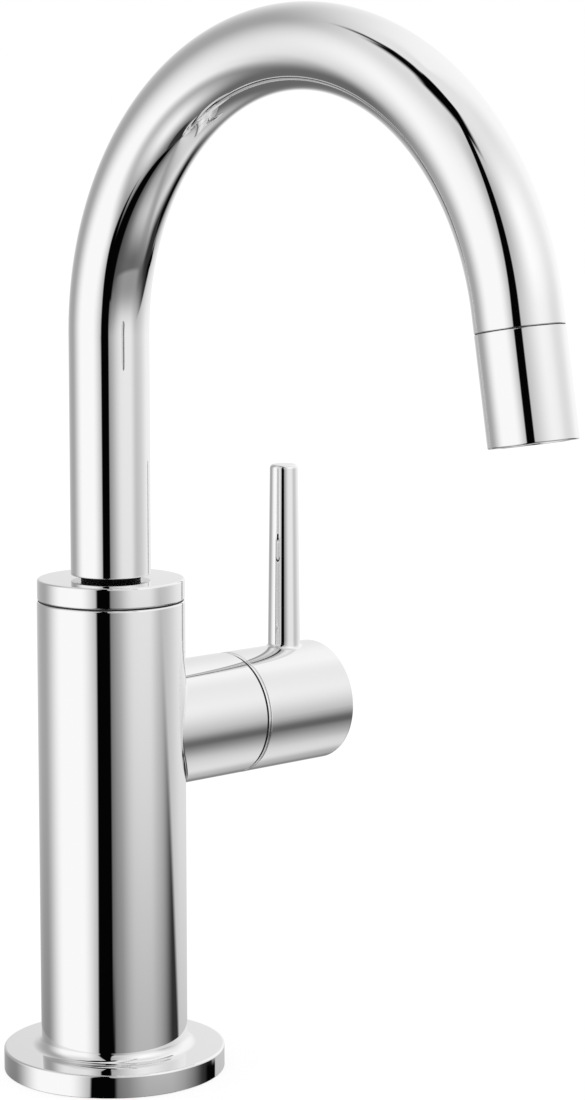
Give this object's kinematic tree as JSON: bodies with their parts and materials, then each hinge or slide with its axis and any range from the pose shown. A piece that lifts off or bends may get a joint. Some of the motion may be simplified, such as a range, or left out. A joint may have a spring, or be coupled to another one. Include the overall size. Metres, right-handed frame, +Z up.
{
  "type": "beverage faucet",
  "caption": "Deck-mounted beverage faucet with a swivelling hooked spout, a round body and one side lever on a ceramic disc cartridge.",
  "frame": {"origin": "On the body axis, on the deck plane that the foot gasket bears on", "axes": "+Z up along the body axis; the hub and handle stand out along +X; the spout reaches forward along -Y at rest"},
  "size_m": [0.1013, 0.1872, 0.361],
  "materials": {
    "chrome": "polished chrome plate",
    "brass": "machined brass",
    "copper": "drawn copper tube",
    "steel": "plain stainless steel",
    "rubber": "black rubber",
    "black_plastic": "moulded acetal",
    "ceramic": "lapped alumina ceramic"
  },
  "bodies": {
    "body": {"body_shell": "chrome", "top_cap": "chrome", "base_gasket": "rubber", "hub_trim_ring": "chrome", "spout_bushing": "black_plastic", "bushing_o_ring": "rubber", "spout_neck_ring": "black_plastic", "cartridge_body": "brass", "cartridge_nut": "brass", "cartridge_o_ring": "rubber", "port_seal": "rubber", "fixed_disc": "ceramic", "threaded_shank": "brass", "inlet_tube": "copper", "inlet_fitting": "brass"},
    "handle": {"valve_stem": "brass", "stem_o_ring": "rubber", "rotating_disc": "ceramic", "stem_adapter": "brass", "handle_cap": "chrome", "handle_set_screw": "steel", "lever": "chrome"},
    "spout": {"spout_tube": "chrome", "spout_journal": "brass", "spout_o_rings": "rubber", "spout_clip": "steel", "outlet_adapter": "brass", "outlet_housing": "chrome", "aerator_gasket": "rubber", "aerator_screen": "steel", "aerator_insert": "black_plastic"},
    "washers": {"rubber_washer": "rubber", "metal_washer": "steel"},
    "nut": {"mounting_nut": "brass"}
  },
  "joints": [
    {"name": "handle_turn", "type": "hinge", "parent": "body", "child": "handle", "pos_m": [0, 0, 0.0896], "axis": [1, 0, 0], "range_deg": [0, 90]},
    {"name": "spout_swivel", "type": "hinge", "parent": "body", "child": "spout", "pos_m": [0, 0, 0.12], "axis": [0, 0, 1], "continuous": true},
    {"name": "clamp_slide", "type": "slide", "parent": "body", "child": "washers", "axis": [0, 0, 1], "range_m": [-0.014, 0.025]},
    {"name": "nut_turn", "type": "hinge", "parent": "washers", "child": "nut", "pos_m": [0, 0, -0.039], "axis": [0, 0, 1], "range_deg": [-3360, 6000]}
  ],
  "couplings": [
    {"joint": "clamp_slide", "follows": "nut_turn", "m_per_rad": 0.00023873}
  ]
}
